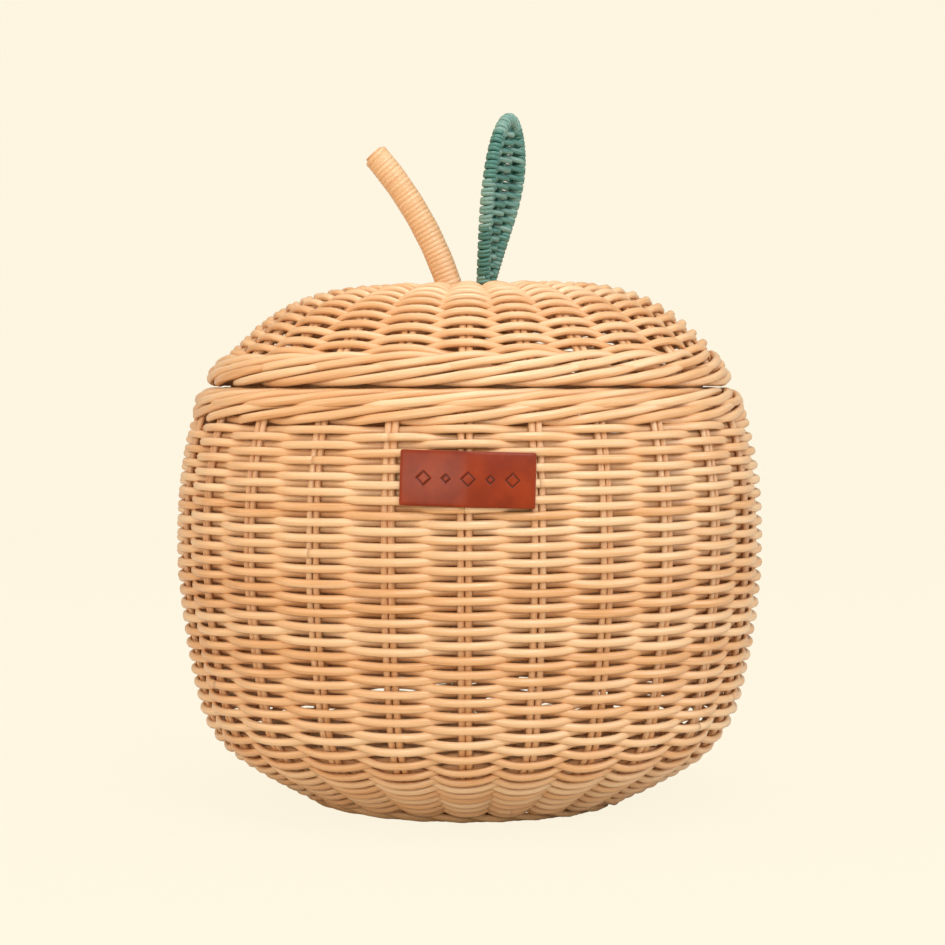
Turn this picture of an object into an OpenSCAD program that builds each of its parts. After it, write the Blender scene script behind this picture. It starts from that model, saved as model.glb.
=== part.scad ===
/* [Basket] */
// Outside radius at the widest part of the belly
belly_r = 121; // [118:1:124]
// Height of the widest part above the floor
belly_z = 122; // [120:1:124]
// Radius at which the flat base turns up into the wall
base_r = 67.2; // [66:0.4:68.4]
// Slope of the lowest part of the wall, in degrees from the floor
rise_angle = 33; // [31:1:35]
// Radius of the corner between the lowest part and the side
corner_r = 34; // [30:1:38]
// Radius of the side's curve below the belly
side_r = 330; // [310:5:350]
// Radius of the side's curve above the belly
shoulder_r = 121; // [115:1:127]
// Height of the foot ring, which the basket stands on
foot_h = 2.4; // [2.4:0.1:3]
// Height of the rim that the lid rests on
seat_z = 171; // [171:0.5:172]

/* [Lid] */
// Height of the ridge around the dimple
crown_z = 213.6; // [213:0.2:214]
// Radius of the ridge around the dimple
crown_r = 47; // [46:0.5:48]
// Depth of the dimple that the stem stands in
dimple_depth = 12; // [10:1:13]
// Radius of the lid's shoulder
lid_shoulder_r = 64; // [63:0.5:65]
// Slope of the lid's lower part, in degrees
lid_slope = 44; // [43:0.5:45]
// Length of the straight part of the lid's slope
lid_slope_len = 14; // [13:0.5:14]
// Gap between the lid's border and the rim
seat_gap = 0.3; // [0.2:0.1:0.4]

/* [Cane] */
// Thickness of the round cane
cane_d = 2.7; // [2.5:0.1:2.7]
// Height of one woven row
row_pitch = 2.9; // [2.7:0.1:3.2]
// Pairs of upright stakes, an odd number so that one weaver runs on and on
pairs = 25; // [25:25]
// Pairs in each of the crossed groups at the middle
hub_pairs = 6; // [6:6]

/* [Stem and leaf] */
// Radius of the curve that the stem follows
stem_bend_r = 158; // [154:1:162]
// Thickness of the stem with its wrapping
stem_d = 11; // [10.5:0.1:11.5]
// Length of the leaf
leaf_len = 77.5; // [76:0.5:79]
// Width of the leaf between the middles of its edge rods
leaf_w = 27; // [26:0.5:28]
// Lean of the leaf from upright, in degrees
leaf_lean = 8; // [6:1:10]
// Turn of the leaf away from facing the front, in degrees
leaf_turn = 64; // [60:1:70]

/* [Label] */
// Width of the leather label
label_w = 50; // [46:1:54]
// Height of the leather label
label_h = 20.5; // [19.5:0.5:21.5]
// Height of the label's middle above the floor
label_z = 137.7; // [136.7:0.5:138.7]

/* [Hidden] */
$fn = 96;

cane = "#e2ac6e";
cane_dark = "#c98f50";
leather = "#a9532c";
leaf_green = "#4f8c7d";

// A woven wall is three canes thick: outer passes, stakes, inner passes.
play = 0.1;
stake_half = cane_d / 2 + 0.15;
wall_half = 4.2;
rib_depth = 0.8;

base_z = foot_h + wall_half;
belly_mid = belly_r - wall_half;
pair_step = 360 / pairs;
// Radius at which the spread stakes run straight out from the middle
fan_r = 24;
hub_pitch = 2.8;
hub_end = (hub_pairs + 0.1) * hub_pitch;
hub_turn = 30.6;
// Angle of pair 0. A maker sets the pairs by eye, so they stand unevenly.
front_angle = -92;
function pair_angle(k) = front_angle + k * pair_step + 1.7 * cos(3 * (k * pair_step + 13));

wale_len = 6.4;
wall_top_z = 164.4;
// The lid's edge turns steeper where its wale is
lid_edge = [8, -18];
flange_mid = 95.3;
flange_bottom_z = 161;
flange_stake = [161.6, 177.6];

// ---- Outlines as legs: each leg is [length, turn in degrees] ----

function leg_end(p, dir, leg) =
    leg[1] == 0
        ? p + leg[0] * [cos(dir), sin(dir)]
        : let (rad = leg[0] * 180 / (leg[1] * PI))
          p + rad * [sin(dir + leg[1]) - sin(dir), cos(dir) - cos(dir + leg[1])];

// [r, z, direction] at distance s along the legs
function along(legs, s, p, dir, i = 0) =
    (s <= legs[i][0] || i == len(legs) - 1)
        ? let (part = legs[i][1] * s / legs[i][0], q = leg_end(p, dir, [s, part]))
          [q.x, q.y, dir + part]
        : along(legs, s - legs[i][0], leg_end(p, dir, legs[i]), dir + legs[i][1], i + 1);

function total(legs, i = 0) = i == len(legs) ? 0 : legs[i][0] + total(legs, i + 1);

// The point that stands off the outline by d, towards the outside of the basket
function stand_off(q, d) = [q.x + d * sin(q[2]), q.y - d * cos(q[2])];

function arc_len(radius, angle) = radius * angle * PI / 180;

// Basket wall, along the middle of the stakes, from the base out and up
knee_r = 12;
knee_cut = knee_r * tan(rise_angle / 2);
rise_dir = [cos(rise_angle), sin(rise_angle)];
side_centre = [belly_mid - side_r, belly_z];
to_corner = [base_r, base_z] + corner_r * [-sin(rise_angle), cos(rise_angle)] - side_centre;
along_rise = to_corner * rise_dir;
rise_len = -along_rise
    + sqrt(along_rise * along_rise - to_corner * to_corner + pow(side_r - corner_r, 2));
corner_centre = to_corner + rise_len * rise_dir;
side_sweep = -atan2(corner_centre.y, corner_centre.x);
shoulder_sweep = asin((wall_top_z - belly_z) / shoulder_r);
base_leg_len = base_r - knee_cut - fan_r;

wall_legs = [
    [base_leg_len, 0],
    [arc_len(knee_r, rise_angle), rise_angle],
    [rise_len - knee_cut, 0],
    [arc_len(corner_r, 90 - side_sweep - rise_angle), 90 - side_sweep - rise_angle],
    [arc_len(side_r, side_sweep), side_sweep],
    [arc_len(shoulder_r, shoulder_sweep), shoulder_sweep]
];
wall_start = [fan_r, base_z];
wall_len = total(wall_legs);
base_weave_len = base_leg_len + arc_len(knee_r, rise_angle) / 2;

// Lid, along the middle of its stakes, from the dimple out and down
crown_mid_z = crown_z - wall_half;
dimple_z = crown_mid_z - dimple_depth;
dimple_sweep = 2 * atan(dimple_depth / (crown_r - fan_r));
dimple_r = (crown_r - fan_r) / (2 * sin(dimple_sweep));
lid_legs = [
    [arc_len(dimple_r, dimple_sweep), dimple_sweep],
    [arc_len(dimple_r, dimple_sweep), -dimple_sweep],
    [arc_len(lid_shoulder_r - wall_half, lid_slope), -lid_slope],
    [lid_slope_len, 0],
    lid_edge
];
lid_start = [fan_r, dimple_z];
lid_len = total(lid_legs);
hub_top_z = dimple_z + hub_pitch / 2 + cane_d / 2;

// Stem: its foot stands on the crossed canes in the dimple
stem_lean = [13.8, 41.4];
stem_foot = [-4.8, hub_top_z + 1.1];
stem_centre = stem_foot - stem_bend_r * [cos(stem_lean[0]), sin(stem_lean[0])];
stem_core_r = 4.1;
stem_wrap = [16.2, 41.1];
stem_binding_at = [14.7, 15.65];
binding_r = 1.3;

// Leaf: each edge rod runs straight out from the root, bends to the widest place and closes at the tip
leaf_stalk = 5;
leaf_root = [5.6, 1.5, hub_top_z + leaf_stalk];
leaf_wide_at = 0.69 * leaf_len;
leaf_rod_r = 1.4;
leaf_edge_r = 2.7;
leaf_weave_from = 2.5;
leaf_low_r = 60;
leaf_low_centre = [leaf_w / 2 - leaf_low_r, leaf_wide_at];
leaf_straight = sqrt(leaf_low_centre * leaf_low_centre - pow(leaf_low_r, 2));
leaf_taper = 90 - atan2(leaf_low_centre.y, leaf_low_centre.x) + asin(leaf_low_r / norm(leaf_low_centre));
leaf_high_r = (pow(leaf_len - leaf_wide_at, 2) + pow(leaf_w / 2, 2)) / leaf_w;
leaf_sheet_t = 2.4;
midrib_ends = [10.5, leaf_len - 6];
leaf_binding_r = 1.2;
leaf_binding_at = -2.2;

label_t = 1.6;
label_off = 0.4;
// The label was sewn on a little off the middle and off level
label_angle = -90.3;
label_tilt = 1.6;
weave_start = 3;

// ---- Shared shapes ----

// Distances along the legs at which chords leave the curve by no more than sag
sag = 0.05;
function stops(legs, i = 0, done = 0) =
    i == len(legs) ? [done]
    : let (n = legs[i][1] == 0 ? 1
               : ceil(legs[i][0] / sqrt(8 * sag * legs[i][0] * 180 / (abs(legs[i][1]) * PI))))
      concat([for (j = [0 : n - 1]) done + legs[i][0] * j / n],
             stops(legs, i + 1, done + legs[i][0]));

// Points that stand off the legs by d, from distance s0 to s1
function offset_line(legs, start, dir, s0, s1, d) =
    [for (s = concat([s0], [for (s = stops(legs)) if (s > s0 + 0.2 && s < s1 - 0.2) s], [s1]))
        stand_off(along(legs, s, start, dir), d)];

function backwards(points) = [for (i = [len(points) - 1 : -1 : 0]) points[i]];

// Closed outline of one layer of a wall, with one rib a row on its far side
module layer_outline(legs, start, dir, s0, s1, near, far) {
    rows = max(1, round((s1 - s0) / row_pitch));
    step = (s1 - s0) / rows;
    groove = far - sign(far) * rib_depth;
    ribs = [for (i = [0 : rows - 1], part = [0, 0.3, 0.7])
        stand_off(along(legs, s0 + (i + part) * step, start, dir), part == 0 ? groove : far)];
    last = stand_off(along(legs, s1, start, dir), groove);
    polygon(concat(offset_line(legs, start, dir, s0, s1, near), [last], backwards(ribs)));
}

// The outer and inner passes of a woven wall, which the stakes stand between
module woven_wall(legs, start, s0, s1, dir = 0) {
    for (side = [-1, 1])
        rotate_extrude() layer_outline(legs, start, dir, s0, s1, side * stake_half, side * wall_half);
}

// A stake that follows the legs from distance s0 to their end, in the X-Z plane
module stake(legs, start, s0) {
    rotate([90, 0, 0]) linear_extrude(cane_d, center = true)
        polygon(concat(offset_line(legs, start, 0, s0, total(legs), cane_d / 2),
                       backwards(offset_line(legs, start, 0, s0, total(legs), -cane_d / 2))));
}

// A straight stretch of stake between two points
module straight_stake(a, b) {
    d = b - a;
    translate(a) rotate([0, acos(d.z / norm(d)), atan2(d.y, d.x)])
        translate([-cane_d / 2, -cane_d / 2, 0]) cube([cane_d, cane_d, norm(d)]);
}

// The two stakes of pair k, standing side by side
module spread_pair(k, legs, start, s0 = 0) {
    rotate([0, 0, pair_angle(k)])
        for (side = [-1, 1])
            translate([0, side * (cane_d / 2 + play / 2), 0]) stake(legs, start, s0);
}

// Where stake n of a crossed group leaves the group, and where it starts to run straight out
function group_exit(group, n, z) =
    let (a = front_angle + hub_turn + 90 * group, off = (n - hub_pairs + 0.5) * hub_pitch)
    [hub_end * cos(a) - off * sin(a), hub_end * sin(a) + off * cos(a), z];
function spread_start(group, n, z) =
    let (k = group * hub_pairs + floor(n / 2), a = pair_angle(k),
         off = (n % 2 == 0 ? -1 : 1) * (cane_d / 2 + play / 2))
    [fan_r * cos(a) - off * sin(a), fan_r * sin(a) + off * cos(a), z];

// Half of all the stakes: groups first and first + 2 are the two ends of the same canes
module crossing_stakes(first, lift, legs, start) {
    z = start.y;
    for (group = [first, first + 2]) {
        for (j = [0 : hub_pairs - 1]) spread_pair(group * hub_pairs + j, legs, start);
        for (n = [0 : 2 * hub_pairs - 1])
            straight_stake(group_exit(group, n, z + lift), spread_start(group, n, z));
    }
    for (n = [0 : 2 * hub_pairs - 1])
        straight_stake(group_exit(first, n, z + lift),
                       group_exit(first + 2, 2 * hub_pairs - 1 - n, z + lift));
}

// ---- Basket ----

// Flat base, woven between the stakes from the middle out to the knee
module base_weave() {
    color(cane_dark) woven_wall(wall_legs, wall_start, weave_start, base_weave_len - play);
}

// Rope-like border under the base, which everything stands on
module foot_border() {
    color(cane_dark) rotate_extrude() polygon([
        [58.5, 0], [63.5, 0], [65, 0.5], [65.4, 1.3], [64.6, 2.1], [63, foot_h - play],
        [58.5, foot_h - play], [57, 1.9], [56.6, 1.1], [57.2, 0.4]
    ]);
}

// Stakes that lie under the crossing, run out through the base and stand up in the wall
module stakes_crossing_under() {
    color(cane) crossing_stakes(0, -hub_pitch / 2, wall_legs, wall_start);
}

// Stakes that lie over the crossing
module stakes_crossing_over() {
    color(cane) crossing_stakes(1, hub_pitch / 2, wall_legs, wall_start);
}

// The pair that makes the count odd, pushed in beside the others
module odd_stake_pair() {
    color(cane) spread_pair(pairs - 1, wall_legs, wall_start, weave_start);
}

// Woven wall, from the knee up to the wale
module side_weave() {
    color(cane) woven_wall(wall_legs, wall_start, base_weave_len, wall_len - wale_len - play);
}

// Twisted rows that lock the top of the wall
module shoulder_wale() {
    color(cane) woven_wall(wall_legs, wall_start, wall_len - wale_len, wall_len - play);
}

// Rolled border, whose flat top is the lid's seat
module rim_border() {
    color(cane) rotate_extrude() polygon([
        [101, 166.8], [101.3, 164.6], [102.8, 162.9], [105.5, 163.4], [112.6, 166.1],
        [113.5, 167.2], [113.1, 168.7], [112, 170], [110.4, seat_z - 0.2], [108.8, seat_z],
        [103, seat_z], [101.6, seat_z - 1.2]
    ]);
}

// Leather patch that lies on the front of the wall, above the belly
module leather_label() {
    sweep = label_w / belly_r * 180 / PI;
    heights = [label_z - label_h / 2, label_z, label_z + label_h / 2];
    outside = shoulder_r + wall_half + label_off;
    back = [for (z = heights)
        [belly_mid - shoulder_r + sqrt(outside * outside - pow(z - belly_z, 2)), z]];
    front = [for (i = [2 : -1 : 0]) back[i] + [label_t, 0]];
    color(leather) translate([0, 0, label_z]) rotate([0, label_tilt, 0]) translate([0, 0, -label_z])
        rotate([0, 0, label_angle - sweep / 2])
            rotate_extrude(angle = sweep) polygon(concat(front, back));
}

// ---- Lid ----

module lid_stakes_crossing_under() {
    color(cane) crossing_stakes(0, -hub_pitch / 2, lid_legs, lid_start);
}

module lid_stakes_crossing_over() {
    color(cane) crossing_stakes(1, hub_pitch / 2, lid_legs, lid_start);
}

module lid_odd_stake_pair() {
    color(cane) spread_pair(pairs - 1, lid_legs, lid_start, weave_start);
}

// Domed lid with its dimple, woven from the middle out
module lid_weave() {
    color(cane) woven_wall(lid_legs, lid_start, weave_start, lid_len - lid_edge[0] - play);
}

module lid_wale() {
    color(cane) woven_wall(lid_legs, lid_start, lid_len - lid_edge[0], lid_len);
}

// Rolled border, whose flat underside rests on the rim
module lid_border() {
    low = seat_z + seat_gap;
    color(cane) rotate_extrude() polygon([
        [99.4, low], [105.4, low], [106.9, low + 1], [107.7, low + 2.6], [107.9, low + 4.4],
        [107.6, low + 6], [106.9, low + 6.8], [103.4, low + 4.9], [99.2, low + 2.7], [98.6, low + 1]
    ]);
}

// Short stakes pushed up into the lid beside its own
module lid_flange_stakes() {
    color(cane_dark) for (k = [0 : pairs - 1]) rotate([0, 0, front_angle + (k + 0.5) * pair_step])
        translate([flange_mid, 0, flange_stake[0]])
            cylinder(d = cane_d, h = flange_stake[1] - flange_stake[0], $fn = 24);
}

// Woven flange under the lid, which drops into the basket's mouth and keeps the lid in place
module lid_flange_weave() {
    height = seat_z - flange_bottom_z;
    color(cane_dark) woven_wall([[height, 0]], [flange_mid, flange_bottom_z], 0, height, 90);
}

// ---- Stem ----

// A piece of the stem's curve, between two leans from upright
module stem_piece(r, from, to) {
    translate([stem_centre.x, 0, stem_centre.y]) rotate([90, 0, 0]) rotate([0, 0, from])
        rotate_extrude(angle = to - from) translate([stem_bend_r, 0]) circle(r);
}

// Bent rod that the stem is built on
module stem_core() {
    color(cane_dark) stem_piece(stem_core_r, stem_lean[0], stem_lean[1]);
}

// Flat cane wound round the rod
module stem_wrapping() {
    color(cane) difference() {
        stem_piece(stem_d / 2, stem_wrap[0], stem_wrap[1]);
        stem_piece(stem_core_r + play / 2, stem_wrap[0] - 1, stem_wrap[1] + 1);
    }
}

// Two turns that tie the stem's foot down to the crossed stakes
module stem_binding() {
    color(cane_dark) for (lean = stem_binding_at)
        translate([stem_centre.x, 0, stem_centre.y]) rotate([90, 0, 0]) rotate([0, 0, lean])
            translate([stem_bend_r, 0, 0]) rotate([90, 0, 0]) rotate_extrude()
                translate([stem_core_r + play + binding_r, 0]) circle(binding_r);
}

// ---- Leaf, drawn upright with its width along X ----

module place_leaf() {
    translate(leaf_root) rotate([0, leaf_lean, 0]) rotate([0, 0, leaf_turn]) children();
}

// Both edges of the leaf as round bars, which meet on the middle plane
module leaf_edges(r) {
    high_sweep = asin((leaf_len - leaf_wide_at) / leaf_high_r);
    overrun = 3;
    lap = 0.05;
    for (side = [0, 1]) mirror([side, 0, 0]) intersection() {
        translate([-lap, -leaf_len, -leaf_len]) cube(3 * leaf_len);
        union() {
            rotate([0, leaf_taper, 0]) translate([0, 0, -overrun])
                cylinder(r = r, h = leaf_straight + overrun, $fn = 32);
            translate([leaf_low_centre.x, 0, leaf_wide_at]) rotate([90, 0, 0])
                rotate([0, 0, -leaf_taper]) rotate_extrude(angle = leaf_taper)
                    translate([leaf_low_r, 0]) circle(r, $fn = 32);
            translate([leaf_w / 2 - leaf_high_r, 0, leaf_wide_at]) rotate([90, 0, 0])
                rotate_extrude(angle = high_sweep + overrun)
                    translate([leaf_high_r, 0]) circle(r, $fn = 32);
        }
    }
}

// Half the leaf's width at a height
function leaf_half(z) =
    z < leaf_straight * cos(leaf_taper) ? z * tan(leaf_taper)
    : let (r = z < leaf_wide_at ? leaf_low_r : leaf_high_r)
      leaf_w / 2 - r + sqrt(r * r - pow(z - leaf_wide_at, 2));

// Rod bent into the leaf's outline, with its two ends brought together as the stalk
module leaf_edge_rod() {
    color(leaf_green) place_leaf() {
        leaf_edges(leaf_rod_r);
        translate([0, 0, 0.3 - leaf_stalk]) cylinder(r = leaf_rod_r, h = leaf_stalk, $fn = 32);
    }
}

module midrib_bar(r) {
    translate([0, 0, midrib_ends[0]])
        cylinder(r = r, h = midrib_ends[1] - midrib_ends[0], $fn = 32);
}

// Straight rod up the middle of the leaf
module leaf_midrib() {
    color(leaf_green) place_leaf() midrib_bar(leaf_rod_r);
}

// Cane woven from edge to edge over the midrib, and round the edge rods
module leaf_weave() {
    steps = 16;
    side_points = [for (i = [0 : steps]) [leaf_half(leaf_len * i / steps), leaf_len * i / steps]];
    left_points = [for (i = [steps - 1 : -1 : 1]) [-side_points[i].x, side_points[i].y]];
    color(leaf_green) place_leaf() difference() {
        union() {
            leaf_edges(leaf_edge_r);
            rotate([90, 0, 0]) linear_extrude(leaf_sheet_t, center = true)
                polygon(concat(side_points, left_points));
        }
        leaf_edges(leaf_rod_r + play);
        midrib_bar(leaf_rod_r + play);
        translate([-leaf_len, -leaf_len, leaf_weave_from - leaf_len])
            cube([2 * leaf_len, 2 * leaf_len, leaf_len]);
    }
}

// Turn of cane that closes the leaf's stalk
module leaf_binding() {
    color(leaf_green) place_leaf() translate([0, 0, leaf_binding_at]) rotate_extrude()
        translate([leaf_rod_r + play + leaf_binding_r, 0]) circle(leaf_binding_r, $fn = 32);
}

base_weave();
foot_border();
stakes_crossing_under();
stakes_crossing_over();
odd_stake_pair();
side_weave();
shoulder_wale();
rim_border();
leather_label();
lid_stakes_crossing_under();
lid_stakes_crossing_over();
lid_odd_stake_pair();
lid_weave();
lid_wale();
lid_border();
lid_flange_stakes();
lid_flange_weave();
stem_core();
stem_wrapping();
stem_binding();
leaf_edge_rod();
leaf_midrib();
leaf_weave();
leaf_binding();
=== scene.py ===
import math
import random

import bpy
import numpy as np
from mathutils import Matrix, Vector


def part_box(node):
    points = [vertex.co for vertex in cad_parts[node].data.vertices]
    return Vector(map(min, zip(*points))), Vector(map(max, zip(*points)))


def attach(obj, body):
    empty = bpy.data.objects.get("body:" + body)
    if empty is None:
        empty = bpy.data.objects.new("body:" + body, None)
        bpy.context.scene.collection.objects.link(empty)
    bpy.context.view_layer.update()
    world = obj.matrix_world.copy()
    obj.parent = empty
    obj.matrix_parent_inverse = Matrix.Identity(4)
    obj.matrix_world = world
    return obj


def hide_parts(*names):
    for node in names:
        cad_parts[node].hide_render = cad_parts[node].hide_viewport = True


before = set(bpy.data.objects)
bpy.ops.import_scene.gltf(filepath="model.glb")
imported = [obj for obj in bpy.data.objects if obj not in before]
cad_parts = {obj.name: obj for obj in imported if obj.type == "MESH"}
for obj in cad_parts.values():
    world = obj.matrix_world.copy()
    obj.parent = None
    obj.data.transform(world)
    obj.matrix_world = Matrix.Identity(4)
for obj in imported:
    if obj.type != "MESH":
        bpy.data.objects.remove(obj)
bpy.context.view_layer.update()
random.seed(7)

# ---------------------------------------------------------------------------------------------
# Upright stakes of the basket
# Pairs of round cane, peeled and sun-dried. Twelve pairs run right through under the base in two
# crossed groups, spread out like spokes and stand up in the wall. One odd pair is pushed in later.
# ---------------------------------------------------------------------------------------------

MM = 0.001
PAIRS = 25
STEP = 360 / PAIRS
GROUP_PAIRS = 6
# Canes are pressed a little flat where they cross, so each is wider along the wall than through it.
STAKE_W, STAKE_H = 1.39 * MM, 1.05 * MM
WEAVER_W, WEAVER_H = 1.70 * MM, 1.36 * MM
# A weaver's middle stands this far off the wall's middle line where it passes a pair.
PASS_OFF = STAKE_H + WEAVER_H - 0.12 * MM
# The whole weave stands a little proud of the frame's wall, which is 8.4 mm thick.
OUTWARDS, WALL_HALF = 0.55 * MM, 4.2 * MM
FRONT_ANGLE = -92.0
GROUP_TURN = 30.6
FAN_R = 24 * MM
GROUP_PITCH = 2.8 * MM
GROUP_END = 17.1 * MM

floor_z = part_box("foot_border")[0].z
belly_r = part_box("side_weave")[1].x - WALL_HALF
belly_z = 122 * MM
base_z = 6.6 * MM
wall_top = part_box("odd_stake_pair")[1].z


def pair_angle(k):
    """Angle of stake pair k in degrees. A maker sets the pairs by eye, so they stand unevenly."""
    return FRONT_ANGLE + k * STEP + 1.7 * np.cos(np.radians(3 * (k * STEP + 13)))


def angle_of(count):
    """Angle in degrees at a count of stakes, with the part of a gap."""
    turns = np.floor(count / PAIRS)
    ks = np.arange(-1, PAIRS + 2)
    return turns * 360 + np.interp(count - PAIRS * turns, ks, pair_angle(ks))


class Outline:
    """A wall's middle line in the radius-height plane, made of legs of (length, turn in degrees).

    fuller is (height, stand-off) in mm, where the real wall bulges more. lean tips what is above
    LEAN_FROM sideways, growing over LEAN_OVER, because a lid woven by hand is never quite level.
    """

    LEAN_FROM, LEAN_OVER, LEAN_PIVOT = 177 * MM, 12 * MM, 22 * MM

    def __init__(self, start, legs, side=1, heading=0.0, fuller=((0, 0), (1, 0)), lean=0.0):
        s, r, z, way = [0.0], [start[0]], [start[1]], [math.radians(heading)]
        for length, turn in legs:
            n = max(2, math.ceil(length / (0.4 * MM)))
            for _ in range(n):
                mid = way[-1] + math.radians(turn) / n / 2
                r.append(r[-1] + length / n * math.cos(mid))
                z.append(z[-1] + length / n * math.sin(mid))
                way.append(way[-1] + math.radians(turn) / n)
                s.append(s[-1] + length / n)
        self.s, self.r, self.z, self.way = map(np.array, (s, r, z, way))
        self.length = s[-1]
        self.side = side
        self.fuller = np.array(fuller) * MM
        self.lean = lean

    def place(self, s, angle, off):
        """Points and outward directions at distance s, angle in degrees and stand-off outwards."""
        r = np.interp(s, self.s, self.r)
        z = np.interp(s, self.s, self.z)
        way = np.interp(s, self.s, self.way)
        a = np.radians(angle)
        out_r, out_z = self.side * np.sin(way), -self.side * np.cos(way)
        off = off + OUTWARDS + np.interp(z, self.fuller[:, 0], self.fuller[:, 1])
        x, y, z = (r + off * out_r) * np.cos(a), (r + off * out_r) * np.sin(a), z + off * out_z
        z = z + self.lean * (x - self.LEAN_PIVOT) * np.clip((z - self.LEAN_FROM) / self.LEAN_OVER, 0, 1)
        spot = np.stack([x, y, z], -1)
        out = np.stack([out_r * np.cos(a), out_r * np.sin(a), out_z + 0 * a], -1)
        return spot, out


def arc(radius, turn):
    """A leg that turns along an arc."""
    return radius * math.radians(abs(turn)), turn


RISE = 33.0
KNEE_R, CORNER_R, SIDE_R, SHOULDER_R = 12 * MM, 34 * MM, 330 * MM, 121 * MM
BASE_R = 67.2 * MM
knee_cut = KNEE_R * math.tan(math.radians(RISE / 2))
rise = np.array([math.cos(math.radians(RISE)), math.sin(math.radians(RISE))])
side_centre = np.array([belly_r - SIDE_R, belly_z])
to_corner = np.array([BASE_R, base_z]) + CORNER_R * np.array([-rise[1], rise[0]]) - side_centre
rise_len = -to_corner @ rise + math.sqrt(
    (to_corner @ rise) ** 2 - to_corner @ to_corner + (SIDE_R - CORNER_R) ** 2)
corner_centre = to_corner + rise_len * rise
side_sweep = -math.degrees(math.atan2(corner_centre[1], corner_centre[0]))
shoulder_sweep = math.degrees(math.asin((wall_top - 0.5 * MM - belly_z) / SHOULDER_R))
base_leg = BASE_R - knee_cut - FAN_R
wall = Outline((FAN_R, base_z), [
    (base_leg, 0), arc(KNEE_R, RISE), (rise_len - knee_cut, 0),
    arc(CORNER_R, 90 - side_sweep - RISE), arc(SIDE_R, side_sweep), arc(SHOULDER_R, shoulder_sweep)],
    fuller=[(6.6, 0), (9, 1.2), (20, 2.2), (60, 1.8), (98, 1.6), (118, 0.7), (128, 0.2), (140, 0)])


def smooth_path(keys, xs):
    """Hermite curve through given keys, each (x, value, value, ...), at the places xs."""
    keys = np.array(keys, float)
    kx, kv = keys[:, 0], keys[:, 1:]
    slope = np.gradient(kv, kx, axis=0)
    i = np.clip(np.searchsorted(kx, xs, "right") - 1, 0, len(kx) - 2)
    h = kx[i + 1] - kx[i]
    t = ((xs - kx[i]) / h)[:, None]
    return ((2 * t ** 3 - 3 * t ** 2 + 1) * kv[i] + (t ** 3 - 2 * t ** 2 + t) * h[:, None] * slope[i]
            + (3 * t ** 2 - 2 * t ** 3) * kv[i + 1] + (t ** 3 - t ** 2) * h[:, None] * slope[i + 1])


def cane_piece(name, canes, body, nodes, material, sides=8):
    """One mesh of round or flat canes.

    Each cane is (points, out directions, half width, half height, tone).
    """
    spots, quads, caps, quad_uv, cap_uv, tones = [], [], [], [], [], []
    turn = np.arange(sides) / sides * 2 * math.pi
    first = 0
    for path, out, half_w, half_h, tone in canes:
        n = len(path)
        run = np.gradient(path, axis=0)
        run /= np.linalg.norm(run, axis=1)[:, None]
        across = np.cross(run, out)
        across /= np.linalg.norm(across, axis=1)[:, None]
        up = np.cross(across, run)
        half_h = np.broadcast_to(half_h, n)[:, None, None]
        half_w = np.broadcast_to(half_w, n)[:, None, None]
        ring = (path[:, None] + np.cos(turn)[None, :, None] * half_h * up[:, None]
                + np.sin(turn)[None, :, None] * half_w * across[:, None])
        spots.append(ring.reshape(-1, 3))
        i, j = np.meshgrid(np.arange(n - 1), np.arange(sides), indexing="ij")
        a = first + i * sides + j
        b = first + i * sides + (j + 1) % sides
        quads.append(np.stack([a, b, b + sides, a + sides], -1).reshape(-1, 4))
        along = np.concatenate([[0], np.cumsum(np.linalg.norm(np.diff(path, axis=0), axis=1))]) / MM
        around = 2 * math.pi * float(half_w.flat[0]) / MM / sides
        shift = 7000 * tone
        u0, u1 = around * j + shift, around * (j + 1) + shift
        v0, v1 = along[i] + shift, along[i + 1] + shift
        quad_uv.append(np.stack([np.stack([u0, v0], -1), np.stack([u1, v0], -1),
                                 np.stack([u1, v1], -1), np.stack([u0, v1], -1)], 2).reshape(-1, 2))
        caps.append(first + np.arange(sides)[::-1][None])
        caps.append(first + (n - 1) * sides + np.arange(sides)[None])
        cap_uv.append(np.full((2 * sides, 2), shift))
        tones.append(np.full(n * sides, tone))
        first += n * sides
    spots, quads, caps = np.concatenate(spots), np.concatenate(quads), np.concatenate(caps)
    mesh = bpy.data.meshes.new(name)
    mesh.vertices.add(len(spots))
    mesh.vertices.foreach_set("co", spots.astype(np.float32).ravel())
    loops = np.concatenate([quads.ravel(), caps.ravel()])
    mesh.loops.add(len(loops))
    mesh.loops.foreach_set("vertex_index", loops.astype(np.int32))
    starts = np.concatenate([np.arange(len(quads)) * 4, len(quads) * 4 + np.arange(len(caps)) * sides])
    mesh.polygons.add(len(starts))
    mesh.polygons.foreach_set("loop_start", starts.astype(np.int32))
    mesh.polygons.foreach_set("use_smooth", np.arange(len(starts)) < len(quads))
    mesh.update(calc_edges=True)
    mesh.uv_layers.new(name="cane_run")
    mesh.uv_layers["cane_run"].data.foreach_set(
        "uv", np.concatenate(quad_uv + cap_uv).astype(np.float32).ravel())
    mesh.attributes.new("tone", "FLOAT", "POINT").data.foreach_set(
        "value", np.concatenate(tones).astype(np.float32))
    piece = bpy.data.objects.new(name, mesh)
    bpy.context.scene.collection.objects.link(piece)
    piece.data.materials.append(material)
    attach(piece, body)
    if nodes:
        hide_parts(*nodes)
    return piece


def linear(hex_colour):
    """An sRGB hex colour as linear red, green, blue, alpha."""
    parts = [int(hex_colour[i:i + 2], 16) / 255 for i in (1, 3, 5)]
    return [c / 12.92 if c <= 0.04045 else ((c + 0.055) / 1.055) ** 2.4 for c in parts] + [1.0]


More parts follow.
